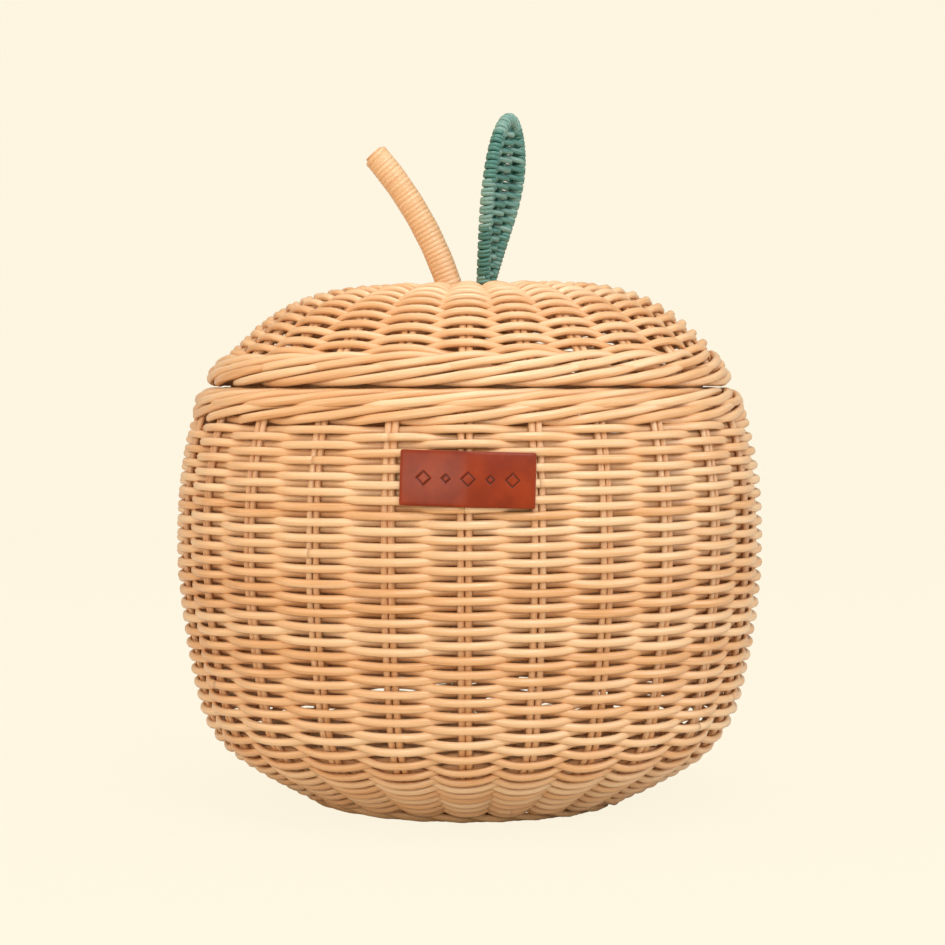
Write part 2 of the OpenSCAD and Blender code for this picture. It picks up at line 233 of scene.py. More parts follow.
def add_node(tree, kind, settings=None, links=None, **sockets):
    """A node with its settings, the values of its sockets, and links as {socket: other output}."""
    node = tree.nodes.new(kind)
    for key, value in (settings or {}).items():
        setattr(node, key, value)
    for key, value in sockets.items():
        node.inputs[key.replace("_", " ")].default_value = value
    for key, output in (links or {}).items():
        tree.links.new(output, node.inputs[key])
    return node


def cane_material(name, pale, mid, deep, roughness, coat):
    """Peeled rattan core: long open fibres, a tone of its own for each length, and a soft waxy sheen."""
    material = bpy.data.materials.new(name)
    material.use_nodes = True
    tree = material.node_tree
    shader = tree.nodes["Principled BSDF"]
    run = add_node(tree, "ShaderNodeUVMap", {"uv_map": "cane_run"})
    # Fibre bundles are about 0.5 mm wide and run 30 mm or more before they fade out.
    stretch = add_node(tree, "ShaderNodeMapping", None, {"Vector": run.outputs[0]}, Scale=(2.0, 0.035, 1.0))
    fibre = add_node(tree, "ShaderNodeTexNoise", None, {"Vector": stretch.outputs[0]},
                     Scale=1.0, Detail=3.0)
    # Slow blotches along a cane, 40 mm or so long, from where it grew and dried.
    slow = add_node(tree, "ShaderNodeMapping", None, {"Vector": run.outputs[0]}, Scale=(0.12, 0.025, 1.0))
    blotch = add_node(tree, "ShaderNodeTexNoise", None, {"Vector": slow.outputs[0]}, Scale=1.0, Detail=2.0)
    tone = add_node(tree, "ShaderNodeAttribute", {"attribute_name": "tone"})
    own = add_node(tree, "ShaderNodeMath", {"operation": "MULTIPLY_ADD"}, {0: tone.outputs["Fac"]})
    own.inputs[1].default_value, own.inputs[2].default_value = 0.22, 0.09
    mixed = add_node(tree, "ShaderNodeMath", {"operation": "MULTIPLY_ADD"},
                     {0: blotch.outputs["Fac"], 2: own.outputs[0]})
    mixed.inputs[1].default_value = 0.36
    lined = add_node(tree, "ShaderNodeMath", {"operation": "MULTIPLY_ADD"},
                     {0: fibre.outputs["Fac"], 2: mixed.outputs[0]})
    lined.inputs[1].default_value = 0.42
    ramp = add_node(tree, "ShaderNodeValToRGB", None, {"Fac": lined.outputs[0]})
    ramp.color_ramp.elements[0].position, ramp.color_ramp.elements[0].color = 0.30, linear(deep)
    ramp.color_ramp.elements[1].position, ramp.color_ramp.elements[1].color = 0.80, linear(pale)
    ramp.color_ramp.elements.new(0.52).color = linear(mid)
    bump = add_node(tree, "ShaderNodeBump", None, {"Height": fibre.outputs["Fac"]},
                    Strength=0.3, Distance=0.0003)
    # The closed, paler fibres shine more than the open ones.
    polish = add_node(tree, "ShaderNodeMath", {"operation": "MULTIPLY_ADD"}, {0: fibre.outputs["Fac"]})
    polish.inputs[1].default_value, polish.inputs[2].default_value = -0.5, roughness + 0.25
    tree.links.new(polish.outputs[0], shader.inputs["Roughness"])
    tree.links.new(ramp.outputs["Color"], shader.inputs["Base Color"])
    tree.links.new(bump.outputs["Normal"], shader.inputs["Normal"])
    shader.inputs["IOR"].default_value = 1.5
    shader.inputs["Coat Weight"].default_value = coat
    shader.inputs["Coat Roughness"].default_value = 0.2
    return material


rattan = cane_material("peeled_rattan_core", "#F1D0A6", "#E2AF7C", "#C78A48", 0.36, 0.45)
# A darker, duller copy of the same cane for the base, foot and lid flange: painted shade for parts that sit
# under or inside the basket.
rattan_painted_shade = cane_material("rattan_core_painted_shade", "#E2BC8C", "#CFA270", "#B38450", 0.5, 0.1)


def stake_paths(outline, start_z, s_end, skip=3 * MM):
    """All the stakes as (group, path, out): the crossed canes whole, then the odd pair."""
    paths = []
    s = np.linspace(0, s_end, 90)
    half_gap = STAKE_W + 0.05 * MM

    def spread(k, side, s_run):
        spot, out = outline.place(s_run, pair_angle(k) + 0 * s_run, 0)
        a = math.radians(pair_angle(k))
        wander = 0.25 * MM * np.sin(s_run / (31 * MM) + 1.7 * k + side)
        return spot + np.outer(side * half_gap + wander * 0.6, [-math.sin(a), math.cos(a), 0]), out

    for group in (0, 1):
        lift = (GROUP_PITCH / 2) * (-1 if group == 0 else 1)
        a = math.radians(FRONT_ANGLE + GROUP_TURN + 90 * group)
        for n in range(2 * GROUP_PAIRS):
            off = (n - GROUP_PAIRS + 0.5) * GROUP_PITCH
            far_n = 2 * GROUP_PAIRS - 1 - n
            near, near_out = spread(group * GROUP_PAIRS + n // 2, -1 if n % 2 == 0 else 1, s)
            far, far_out = spread((group + 2) * GROUP_PAIRS + far_n // 2, -1 if far_n % 2 == 0 else 1, s)
            middle = [np.array([m * math.cos(a) - off * math.sin(a), m * math.sin(a) + off * math.cos(a),
                                start_z + lift]) for m in np.linspace(-GROUP_END, GROUP_END, 9)]
            path = np.concatenate([far[::-1], middle, near])
            up = np.tile([0, 0, -outline.side * 1.0], (len(middle), 1))
            out = np.concatenate([far_out[::-1], up, near_out])
            # The canes bend softly where they leave the crossing.
            bend = slice(len(far) - 4, len(far) + len(middle) + 4)
            for _ in range(3):
                path[1:-1][bend] = (path[:-2] + 2 * path[1:-1] + path[2:])[bend] / 4
            paths.append((group, path, out))
    for side in (-1, 1):
        path, out = spread(PAIRS - 1, side, np.linspace(skip, s_end, 80))
        paths.append((2, path, out))
    return paths


def cane_of(path, out, half_w=STAKE_W, half_h=STAKE_H):
    """A cane with a thickness and a tone of its own."""
    own = random.uniform(0.97, 1.03)
    return path, out, half_w * own, half_h * own, random.random()


basket_stakes = stake_paths(wall, base_z, wall.length - 1.5 * MM)
for group, name, node in ((0, "stakes_under", "stakes_crossing_under"),
                          (1, "stakes_over", "stakes_crossing_over"),
                          (2, "odd_stakes", "odd_stake_pair")):
    cane_piece(name, [cane_of(p, o) for g, p, o in basket_stakes if g == group],
               "basket", [node], rattan)

# ---------------------------------------------------------------------------------------------
# Base weave and side weave
# One round weaver in plain randing: in front of a pair, behind the next, round and round. The odd
# count of pairs makes each round pass on the other side from the last.
# ---------------------------------------------------------------------------------------------


def randing(outline, s_from, s_to, pitch_from, pitch_to, samples, flip=0, droop=0.0, sway=0.25 * MM):
    """The weaver of plain randing as lengths of cane, from s_from to s_to along an outline."""
    rounds = (s_to - s_from) / ((pitch_from + pitch_to) / 2)
    count = np.arange(0, rounds * PAIRS, 1 / samples)
    t = count / (rounds * PAIRS)
    s = s_from + (s_to - s_from) * (pitch_from * t + (pitch_to - pitch_from) * t * t / 2) \
        / ((pitch_from + pitch_to) / 2)
    angle = angle_of(count)
    phase = math.pi * (count + flip)
    wave = (np.cos(phase) - 0.06 * np.cos(3 * phase)) / 0.94
    a = np.radians(angle)
    passes = np.arange(int(count[-1]) + 3)

    def of_its_own(low, high):
        """A value that drifts from pass to pass."""
        return np.interp(count, passes, [random.uniform(low, high) for _ in passes])

    # Rows sway together, each pass has some play, and the outer passes are packed lower than the inner.
    s = s + sway * (np.sin(3 * a + s / (17 * MM)) + np.sin(7 * a + 2.0 + s / (9 * MM))) * 0.5
    # They are packed lower still where the wall curves in under the basket.
    way = np.degrees(np.interp(s, outline.s, outline.way))
    droop = droop * np.interp(way, [33, 50, 66, 78, 90], [5, 4, 0.3, 0.3, 1])
    s = s + of_its_own(-0.17, 0.17) * MM - droop * wave + 0.3 * droop * np.sin(2 * phase)
    path, out = outline.place(s, angle, PASS_OFF * wave * of_its_own(0.93, 1.06))
    thick = of_its_own(0.94, 1.05)
    # A weaver is about 1.1 m long. It ends on the inside, behind a pair, where the next one starts.
    canes, first = [], 0
    while first < len(path) - 3:
        passed = int(random.uniform(14, 22)) * 2 + (1 + flip) % 2
        last = int(round((math.floor(count[first]) + passed) * samples)) + 1
        if len(path) - last < 6 * samples:
            last = len(path)
        canes.append((path[first:last], out[first:last], WEAVER_W * thick[first:last],
                      WEAVER_H * thick[first:last], random.random()))
        first = last - 1
    return canes


def in_bunches(canes, most, sides=8):
    """Canes shared out over pieces so that none holds too many faces."""
    bunches, load = [[]], 0
    for cane in canes:
        if load > most:
            bunches.append([])
            load = 0
        bunches[-1].append(cane)
        load += len(cane[0]) * sides * 2
    return bunches


base_start, base_pitch = 0.7 * MM, 2.8 * MM
base_end = base_start + 15 * base_pitch
wale_start = wall.length - 6.6 * MM
side_end = wale_start - 0.6 * MM
base_canes = randing(wall, base_start, base_end, base_pitch, base_pitch, 8, flip=1)
# The base takes the darker copy of the cane, painted shade.
cane_piece("base_randing", base_canes, "basket", ["base_weave"], rattan_painted_shade)
side_canes = randing(wall, base_end, side_end, 2.55 * MM, 2.92 * MM, 10, droop=0.2 * MM)
for number, bunch in enumerate(in_bunches(side_canes, 150000)):
    cane_piece(f"side_randing_{number + 1}", bunch, "basket", ["side_weave"] if number == 0 else [],
               rattan)

# ---------------------------------------------------------------------------------------------
# Shoulder wale and rim border
# The wale is three canes that each pass in front of two pairs and behind one, rising as they go.
# The border is the stakes' own ends, bent down to the right, laid over the top and tucked inside.
# ---------------------------------------------------------------------------------------------


def wale(outline, s_low, s_high, rise_side, samples=14):
    """One round of three-cane waling as strokes, each from behind one pair to behind the third next."""
    strokes = []
    for k in range(PAIRS):
        x = np.linspace(0, 3, 3 * samples + 1)
        own = [random.uniform(-0.04, 0.04) for _ in range(4)]
        keys = [(0.0, 0.25, -1.0), (0.4, 0.0, -0.5), (0.75, 0.0 + own[0], 0.8), (1.2, 0.25 + own[1], 1.0),
                (1.7, 0.60 + own[2], 1.0), (2.15, 0.92 + own[3], 0.7), (2.55, 1.05, -0.3), (3.0, 0.8, -1.0)]
        place = smooth_path(keys, x)
        up = place[:, 0] if rise_side > 0 else 1 - place[:, 0]
        path, out = outline.place(s_low + (s_high - s_low) * up, angle_of(k + x), PASS_OFF * place[:, 1])
        strokes.append(cane_of(path, out, 1.85 * MM, 1.45 * MM))
    return strokes


def rolled_border(keys, half_w=1.85 * MM, half_h=1.5 * MM, samples=12, core=()):
    """A border of strokes, one from each pair, that follow keys of (pairs passed, radius, height) in mm."""
    strokes = []
    keys = np.array(keys, float)
    centre = keys[:, 1:].mean(0) * MM
    for k in range(PAIRS):
        mine = keys.copy()
        mine[1:-1, 1] += [random.uniform(-0.15, 0.15) for _ in keys[1:-1]]
        mine[1:-1, 2] += [random.uniform(-0.18, 0.18) for _ in keys[1:-1]]
        x = np.linspace(mine[0, 0], mine[-1, 0], int((mine[-1, 0] - mine[0, 0]) * samples) + 1)
        place = smooth_path(mine, x) * MM
        a = np.radians(angle_of(k + x))
        path = np.stack([place[:, 0] * np.cos(a), place[:, 0] * np.sin(a), place[:, 1]], -1)
        out_r, out_z = place[:, 0] - centre[0], place[:, 1] - centre[1]
        size = np.hypot(out_r, out_z)
        out = np.stack([out_r / size * np.cos(a), out_r / size * np.sin(a), out_z / size], -1)
        strokes.append(cane_of(path, out, half_w, half_h))
    for core_r, core_z in core:
        a = np.linspace(0, 2 * math.pi, 241)
        path = np.stack([core_r * MM * np.cos(a), core_r * MM * np.sin(a), core_z * MM + 0 * a], -1)
        strokes.append(cane_of(path, np.tile([0.0, 0.0, 1.0], (len(a), 1))))
    return strokes


cane_piece("shoulder_waling", wale(wall, wale_start + 0.6 * MM, wall.length - 0.2 * MM, 1),
           "basket", ["shoulder_wale"], rattan)
RIM_KEYS = [(0.0, 107.2, 162.2), (0.35, 108.0, 163.2), (0.7, 111.3, 164.2), (1.15, 112.4, 165.3),
            (1.7, 111.6, 167.0), (2.15, 109.8, 168.5), (2.6, 107.6, 169.2), (3.3, 104.6, 169.3),
            (4.0, 103.2, 168.2), (4.6, 103.2, 166.5), (5.1, 104.6, 164.8)]
cane_piece("rim_rolled_border", rolled_border(RIM_KEYS, core=[(108.4, 166.6), (105.6, 166.7)]),
           "basket", ["rim_border"], rattan)

# ---------------------------------------------------------------------------------------------
# Foot border
# A thin ring under the base, of short canes that are pushed in beside the stakes and laid down in
# turn. Its underside is what the basket stands on.
# ---------------------------------------------------------------------------------------------

FOOT_KEYS = [(0.0, 68.4, 4.8), (0.3, 67.6, 3.4), (0.8, 65.6, 1.9), (1.5, 62.6, 1.55), (2.2, 59.8, 1.65),
             (2.7, 58.2, 2.8)]
# The foot takes the darker copy of the cane, painted shade.
cane_piece("foot_rolled_border", rolled_border(FOOT_KEYS, 1.5 * MM, 1.15 * MM), "basket", ["foot_border"],
           rattan_painted_shade)

# ---------------------------------------------------------------------------------------------
# Leather label
# Vegetable-tanned cowhide in cognac, 1.3 mm thick, sewn on from behind. It follows the shoulder
# and has taken a soft bend at its middle. A row of five plain lozenges is pressed into it.
# ---------------------------------------------------------------------------------------------

LABEL_W, LABEL_H, LABEL_Z, LABEL_T = 50 * MM, 20.5 * MM, 137.7 * MM, 1.3 * MM
LABEL_TILT, LABEL_CORNER, LABEL_SHIFT = math.radians(1.6), 0.8 * MM, -0.3 * MM
LOZENGE_PITCH, LOZENGE_BIG, LOZENGE_SMALL = 8.2 * MM, 2.5 * MM, 1.5 * MM
LINE_HALF, LINE_DEPTH = 0.38 * MM, 0.28 * MM


def leather_material():
    """Smooth cowhide: fine pores, a pull-up sheen, darker where it is pressed and along its cut edge."""
    material = bpy.data.materials.new("cognac_cowhide")
    material.use_nodes = True
    tree = material.node_tree
    shader = tree.nodes["Principled BSDF"]
    spot = add_node(tree, "ShaderNodeTexCoord")
    # Pores are about 0.4 mm apart, and the hide's clouding runs over 12 mm or so.
    pores = add_node(tree, "ShaderNodeTexVoronoi", None, {"Vector": spot.outputs["Object"]}, Scale=2400.0)
    cloud = add_node(tree, "ShaderNodeTexNoise", None, {"Vector": spot.outputs["Object"]},
                     Scale=85.0, Detail=5.0)
    ramp = add_node(tree, "ShaderNodeValToRGB", None, {"Fac": cloud.outputs["Fac"]})
    ramp.color_ramp.elements[0].position, ramp.color_ramp.elements[0].color = 0.35, linear("#7B2605")
    ramp.color_ramp.elements[1].position, ramp.color_ramp.elements[1].color = 0.68, linear("#943306")
    pressed = add_node(tree, "ShaderNodeAttribute", {"attribute_name": "pressed"})
    darker = add_node(tree, "ShaderNodeMix", {"data_type": "RGBA"},
                      {"Factor": pressed.outputs["Fac"]})
    tree.links.new(ramp.outputs["Color"], darker.inputs[6])
    darker.inputs[7].default_value = linear("#4A1A0B")
    tree.links.new(darker.outputs[2], shader.inputs["Base Color"])
    bump = add_node(tree, "ShaderNodeBump", None, {"Height": pores.outputs["Distance"]},
                    Strength=0.4, Distance=0.00006)
    tree.links.new(bump.outputs["Normal"], shader.inputs["Normal"])
    shader.inputs["Roughness"].default_value = 0.3
    shader.inputs["Specular IOR Level"].default_value = 0.25
    return material


def label_piece():
    """A grid bent onto the shoulder, with the lozenges pressed in, closed at the back."""
    nx, nz = 201, 87
    u = np.linspace(-1, 1, nx)[:, None] * np.ones((1, nz))
    v = np.ones((nx, 1)) * np.linspace(-1, 1, nz)[None]
    x, h = u * LABEL_W / 2, v * LABEL_H / 2
    cx, cz = LABEL_W / 2 - LABEL_CORNER, LABEL_H / 2 - LABEL_CORNER
    in_corner = (abs(x) > cx) & (abs(h) > cz)
    reach = np.hypot(abs(x) - cx, abs(h) - cz)
    pull = np.where(in_corner & (reach > LABEL_CORNER), LABEL_CORNER / np.maximum(reach, 1e-9), 1.0)
    x = np.where(in_corner, np.sign(x) * (cx + (abs(x) - cx) * pull), x)
    h = np.where(in_corner, np.sign(h) * (cz + (abs(h) - cz) * pull), h)
    edge = np.minimum(LABEL_W / 2 - abs(x), LABEL_H / 2 - abs(h))
    pressed = np.zeros_like(x)
    for place in range(-2, 3):
        far = abs(x - place * LOZENGE_PITCH) + abs(h)
        size = LOZENGE_BIG if place % 2 == 0 else LOZENGE_SMALL
        pressed = np.maximum(pressed, np.exp(-((far - size) / LINE_HALF) ** 4))
    rounded = 0.3 * MM * np.exp(-edge / (0.3 * MM))
    c, s = math.cos(LABEL_TILT), math.sin(LABEL_TILT)
    x, h = x * c + h * s, h * c - x * s
    height = LABEL_Z + h
    wall_r = belly_r - SHOULDER_R + np.sqrt((SHOULDER_R + WALL_HALF) ** 2 - (height - belly_z) ** 2)
    back = wall_r + 0.35 * MM
    a = np.arcsin(x / back)
    circle_y = back * np.cos(a)
    end_y = np.sqrt(back ** 2 - (LABEL_W / 2) ** 2)
    # Two nearly flat halves that meet in the bend, blended with the round of the wall.
    tent_y = end_y + (back + 0.5 * MM - end_y) * (1 - np.sqrt((x / (LABEL_W / 2)) ** 2 + 0.004) / 1.002)
    back_y = 0.4 * circle_y + 0.6 * np.maximum(tent_y, circle_y - 0.5 * MM)
    front_y = back_y + LABEL_T - rounded - LINE_DEPTH * pressed
    front = np.stack([x + LABEL_SHIFT, -front_y, height], -1).reshape(-1, 3)
    rear = np.stack([x + LABEL_SHIFT, -back_y, height], -1).reshape(-1, 3)
    i, j = np.meshgrid(np.arange(nx - 1), np.arange(nz - 1), indexing="ij")
    a0 = (i * nz + j).ravel()
    faces = np.stack([a0, a0 + nz, a0 + nz + 1, a0 + 1], -1)
    loop = np.concatenate([np.arange(nx) * nz, (nx - 1) * nz + np.arange(1, nz),
                           np.arange(nx - 2, -1, -1) * nz + nz - 1, np.arange(nz - 2, 0, -1)])
    total = nx * nz
    following = np.roll(loop, -1)
    rim = np.stack([loop, loop + total, following + total, following], -1)
    mesh = bpy.data.meshes.new("label_cowhide")
    mesh.from_pydata(np.concatenate([front, rear]).tolist(), [],
                     np.concatenate([faces, faces[:, ::-1] + total, rim]).tolist())
    mesh.attributes.new("pressed", "FLOAT", "POINT").data.foreach_set(
        "value", np.concatenate([pressed.ravel(), np.ones(total)]).astype(np.float32))
    mesh.polygons.foreach_set("use_smooth", [True] * len(mesh.polygons))
    piece = bpy.data.objects.new("label_cowhide", mesh)
    bpy.context.scene.collection.objects.link(piece)
    piece.data.materials.append(leather_material())
    return piece


label = label_piece()
bpy.ops.object.select_all(action="DESELECT")
label.select_set(True)
bpy.context.view_layer.objects.active = label
bpy.ops.object.shade_smooth_by_angle(angle=math.radians(40))
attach(label, "basket")
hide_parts("leather_label")

# ---------------------------------------------------------------------------------------------
# Lid: stakes, weave, wale and border
# The lid is made like the base: crossed pairs at the bottom of the dimple, spread out over the
# ridge and down, woven round in randing, then waled and rolled off in a border at the edge.
# ---------------------------------------------------------------------------------------------

CROWN_R, DIMPLE_DEPTH, LID_SHOULDER_R, LID_SLOPE = 47 * MM, 12 * MM, 59.8 * MM, 44.0
crown_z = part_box("lid_weave")[1].z - WALL_HALF
dimple_z = crown_z - DIMPLE_DEPTH
dimple_sweep = 2 * math.degrees(math.atan(DIMPLE_DEPTH / (CROWN_R - FAN_R)))
dimple_r = (CROWN_R - FAN_R) / (2 * math.sin(math.radians(dimple_sweep)))
lid_wall = Outline((FAN_R, dimple_z), [
    arc(dimple_r, dimple_sweep), arc(dimple_r, -dimple_sweep), arc(LID_SHOULDER_R, -LID_SLOPE),
    (14 * MM, 0), (8 * MM, -18)], side=-1, lean=0.018)
lid_stakes = stake_paths(lid_wall, dimple_z, lid_wall.length - 1 * MM)
for group, name, node in ((0, "lid_stakes_under", "lid_stakes_crossing_under"),
                          (1, "lid_stakes_over", "lid_stakes_crossing_over"),
                          (2, "lid_odd_stakes", "lid_odd_stake_pair")):
    cane_piece(name, [cane_of(p, o) for g, p, o in lid_stakes if g == group],
               "lid", [node], rattan)
lid_canes = randing(lid_wall, 0.7 * MM, lid_wall.length - 9.0 * MM, 2.6 * MM, 3.0 * MM, 10, flip=1)
for number, bunch in enumerate(in_bunches(lid_canes, 150000)):
    cane_piece(f"lid_randing_{number + 1}", bunch, "lid", ["lid_weave"] if number == 0 else [],
               rattan)
cane_piece("lid_waling", wale(lid_wall, lid_wall.length - 7.6 * MM, lid_wall.length - 1.6 * MM, -1),
           "lid", ["lid_wale"], rattan)
LID_KEYS = [(0.0, 100.4, 176.4), (0.4, 100.2, 174.4), (0.75, 102.4, 173.1), (1.1, 105.4, 173.0),
            (1.5, 107.0, 174.0), (2.0, 107.1, 175.8), (2.5, 106.0, 177.8), (2.9, 103.9, 179.2),
            (3.4, 101.6, 179.4)]
cane_piece("lid_rolled_border", rolled_border(LID_KEYS, core=[(103.3, 175.6)]),
           "lid", ["lid_border"], rattan)

# ---------------------------------------------------------------------------------------------
# Lid flange
# A short woven ring on its own stakes, pushed up into the lid. It drops into the basket's mouth.
# ---------------------------------------------------------------------------------------------

flange_low, flange_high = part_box("lid_flange_weave")
flange_r = flange_high.x - WALL_HALF
flange_wall = Outline((flange_r, flange_low.z), [(flange_high.z - flange_low.z, 0)], heading=90)
flange_canes = randing(flange_wall, 1.6 * MM, 12.4 * MM, 2.8 * MM, 2.8 * MM, 10, sway=0)
# The flange's weave and stakes take the darker copy of the cane, painted shade.
cane_piece("flange_randing", flange_canes, "lid", ["lid_flange_weave"], rattan_painted_shade)
flange_stakes = []
for k in range(PAIRS):
    s = np.linspace(0.4 * MM, 16.5 * MM, 12)
    a = math.radians(FRONT_ANGLE + (k + 0.5) * STEP)
    path = np.stack([flange_r * math.cos(a) + 0 * s, flange_r * math.sin(a) + 0 * s, flange_low.z + s], -1)
    flange_stakes.append(cane_of(path, np.tile([math.cos(a), math.sin(a), 0.0], (len(s), 1))))
cane_piece("flange_stakes", flange_stakes, "lid", ["lid_flange_stakes"], rattan_painted_shade)

# ---------------------------------------------------------------------------------------------
# Stem
# A bent rod of thick cane wound edge to edge with flat cane, tied down to the crossed stakes.
# ---------------------------------------------------------------------------------------------

STEM_BEND_R, STEM_R, WRAP_PITCH = 158 * MM, 5.5 * MM, 1.9 * MM
STEM_LEANS, FOOT_LEAN = (16.0, 41.0), math.radians(13.8)
hub_top = dimple_z + GROUP_PITCH / 2 + 1.35 * MM
stem_foot = np.array([-4.8 * MM, hub_top + 1.1 * MM])
stem_centre = stem_foot - STEM_BEND_R * np.array([math.cos(FOOT_LEAN), math.sin(FOOT_LEAN)])
wraps = math.radians(STEM_LEANS[1] - STEM_LEANS[0]) * STEM_BEND_R / WRAP_PITCH
turn = np.linspace(0, wraps * 2 * math.pi, int(wraps * 28))
lean = math.radians(STEM_LEANS[0]) + turn / (2 * math.pi) * WRAP_PITCH / STEM_BEND_R
RIBBON_W, RIBBON_H = 1.22 * MM, 0.42 * MM
ribbon_r = STEM_R - RIBBON_H + 0.05 * MM * np.sin(turn / 7.3)
out = np.stack([np.cos(turn) * np.cos(lean), np.sin(turn), np.cos(turn) * np.sin(lean)], -1)
axis = np.stack([stem_centre[0] + STEM_BEND_R * np.cos(lean), 0 * lean,
                 stem_centre[1] + STEM_BEND_R * np.sin(lean)], -1)
path = axis + out * ribbon_r[:, None]
wrap_canes = [(path, out, RIBBON_W, RIBBON_H, 0.5)]
cane_piece("stem_flat_cane", wrap_canes, "lid", ["stem_wrapping"], rattan)
for node in ("stem_core", "stem_binding"):
    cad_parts[node].data.materials.clear()
    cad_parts[node].data.materials.append(rattan)

# ---------------------------------------------------------------------------------------------
# Leaf
# A cane rod bent to the leaf's outline with a midrib, woven across with one dyed cane that goes
# round the edge rod at each turn. The stalk is bound at its foot.
# ---------------------------------------------------------------------------------------------

LEAF_LEN, LEAF_W, LEAF_STALK = 78.6 * MM, 27 * MM, 5 * MM
LEAF_ROD_R, LEAF_CANE_R, LEAF_ROW = 1.15 * MM, 0.92 * MM, 1.83 * MM
LEAF_WIDE_AT, LEAF_LOW_R, LEAF_CUP = 0.69 * LEAF_LEN, 60 * MM, 1.2 * MM
leaf_root = np.array([5.6 * MM, 1.5 * MM, hub_top + LEAF_STALK])
leaf_lean, leaf_turn = math.radians(8.4), math.radians(64)
low_centre = math.hypot(LEAF_W / 2 - LEAF_LOW_R, LEAF_WIDE_AT)
leaf_straight = math.sqrt(low_centre ** 2 - LEAF_LOW_R ** 2)
leaf_taper = (math.pi / 2 - math.atan2(LEAF_WIDE_AT, LEAF_W / 2 - LEAF_LOW_R)
              + math.asin(LEAF_LOW_R / low_centre))
dyed = cane_material("dyed_rattan_core", "#86AAA0", "#3E7B70", "#20544B", 0.40, 0.35)

lean_turn = np.array([[math.cos(leaf_lean), 0, math.sin(leaf_lean)], [0, 1, 0],
                      [-math.sin(leaf_lean), 0, math.cos(leaf_lean)]])
spin = np.array([[math.cos(leaf_turn), -math.sin(leaf_turn), 0],
                 [math.sin(leaf_turn), math.cos(leaf_turn), 0], [0, 0, 1]])
leaf_frame = lean_turn @ spin


def leaf_half(z):
    """Half width of the leaf between its edge rods at a height above its root."""
    high_r = ((LEAF_LEN - LEAF_WIDE_AT) ** 2 + (LEAF_W / 2) ** 2) / LEAF_W
    r = np.where(z < LEAF_WIDE_AT, LEAF_LOW_R, high_r)
    bent = LEAF_W / 2 - r + np.sqrt(np.maximum(r * r - (z - LEAF_WIDE_AT) ** 2, 0))
    blunt = LEAF_W / 2 * np.sqrt(np.clip(1 - ((z - LEAF_WIDE_AT) / (LEAF_LEN - LEAF_WIDE_AT)) ** 2, 0, 1))
    bent = np.where(z > LEAF_WIDE_AT, (bent + blunt) / 2, bent)
    return np.where(z < leaf_straight * math.cos(leaf_taper), z * math.tan(leaf_taper), bent)


def leaf_spots(across, deep, up):
    """Points of the leaf in the frame, from across, deep and up in the leaf's own directions."""
    cupped = deep - LEAF_CUP * (across / (LEAF_W / 2)) ** 2
    return leaf_root + np.stack([across, cupped, up], -1) @ leaf_frame.T


leaf_out = leaf_frame @ np.array([0.0, -1.0, 0.0])
z = np.concatenate([[-LEAF_STALK + 0.4 * MM, -3 * MM, -1.5 * MM], np.linspace(0, LEAF_LEN, 60)])
half = np.where(z > 0, np.maximum(leaf_half(np.maximum(z, 0)), 0.9 * MM), 0.9 * MM)
loop_path = np.concatenate([leaf_spots(half, 0 * z, z), leaf_spots(-half, 0 * z, z)[::-1]])
for _ in range(3):
    loop_path[1:-1] = (loop_path[:-2] + 2 * loop_path[1:-1] + loop_path[2:]) / 4
edge_out = np.tile(leaf_out, (len(loop_path), 1))
cane_piece("leaf_edge", [cane_of(loop_path, edge_out, LEAF_ROD_R, LEAF_ROD_R)],
           "lid", ["leaf_edge_rod"], dyed)
z = np.linspace(9 * MM, LEAF_LEN - 3 * MM, 30)
rib_path = leaf_spots(0 * z, 0 * z, z)
cane_piece("leaf_rib", [cane_of(rib_path, np.tile(leaf_out, (len(z), 1)), LEAF_ROD_R, LEAF_ROD_R)],
           "lid", ["leaf_midrib"], dyed)

# At each turn the weaver goes twice round the edge rod, so the rim is covered and the rows stay apart.
run = np.concatenate([[0], np.cumsum(np.linalg.norm(np.diff(loop_path, axis=0), axis=1))])
wraps = (run[-1] - 4 * MM) / LEAF_ROW
TURN_POINTS = 16
turn = np.linspace(0, wraps * 2 * math.pi, int(wraps * TURN_POINTS))
at = 1.5 * MM + LEAF_ROW * turn / (2 * math.pi) + 0.3 * MM * np.sin(turn / 2)
middle = np.stack([np.interp(at, run, loop_path[:, i]) for i in range(3)], -1)
ahead = np.gradient(middle, axis=0)
ahead /= np.linalg.norm(ahead, axis=1)[:, None]
beside = np.cross(ahead, leaf_out)
away = np.cos(turn)[:, None] * leaf_out + np.sin(turn)[:, None] * beside
rim_path = middle + away * (LEAF_ROD_R + LEAF_CANE_R - 0.08 * MM)
leaf_canes = []
length = TURN_POINTS * 11
for first in range(0, len(rim_path) - 20, length):
    last = min(len(rim_path), first + length + 1)
    leaf_canes.append((rim_path[first:last], away[first:last],
                       LEAF_CANE_R * 1.12, LEAF_CANE_R, random.random()))
for row in range(int((LEAF_LEN - 12.5 * MM) / LEAF_ROW)):
    side = 1 if row % 2 == 0 else -1
    z0 = 9.5 * MM + row * LEAF_ROW
    w = float(leaf_half(np.array(z0)))
    reach = LEAF_ROD_R + LEAF_CANE_R
    t = np.linspace(-1, 1, 17)
    deep = -side * reach * np.cos(math.pi * np.clip(abs(t) * 1.15, 0, 1))
    tilt = 0.5 * MM * t * side
    row_path = leaf_spots(t * (w + 0.3 * MM), deep, z0 + tilt + 0.2 * MM * random.uniform(-1, 1))
    leaf_canes.append((row_path, np.tile(leaf_out, (17, 1)),
                       LEAF_CANE_R * 1.3, LEAF_CANE_R, random.random()))
cane_piece("leaf_randing", leaf_canes, "lid", ["leaf_weave"], dyed)
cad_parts["leaf_binding"].data.materials.clear()
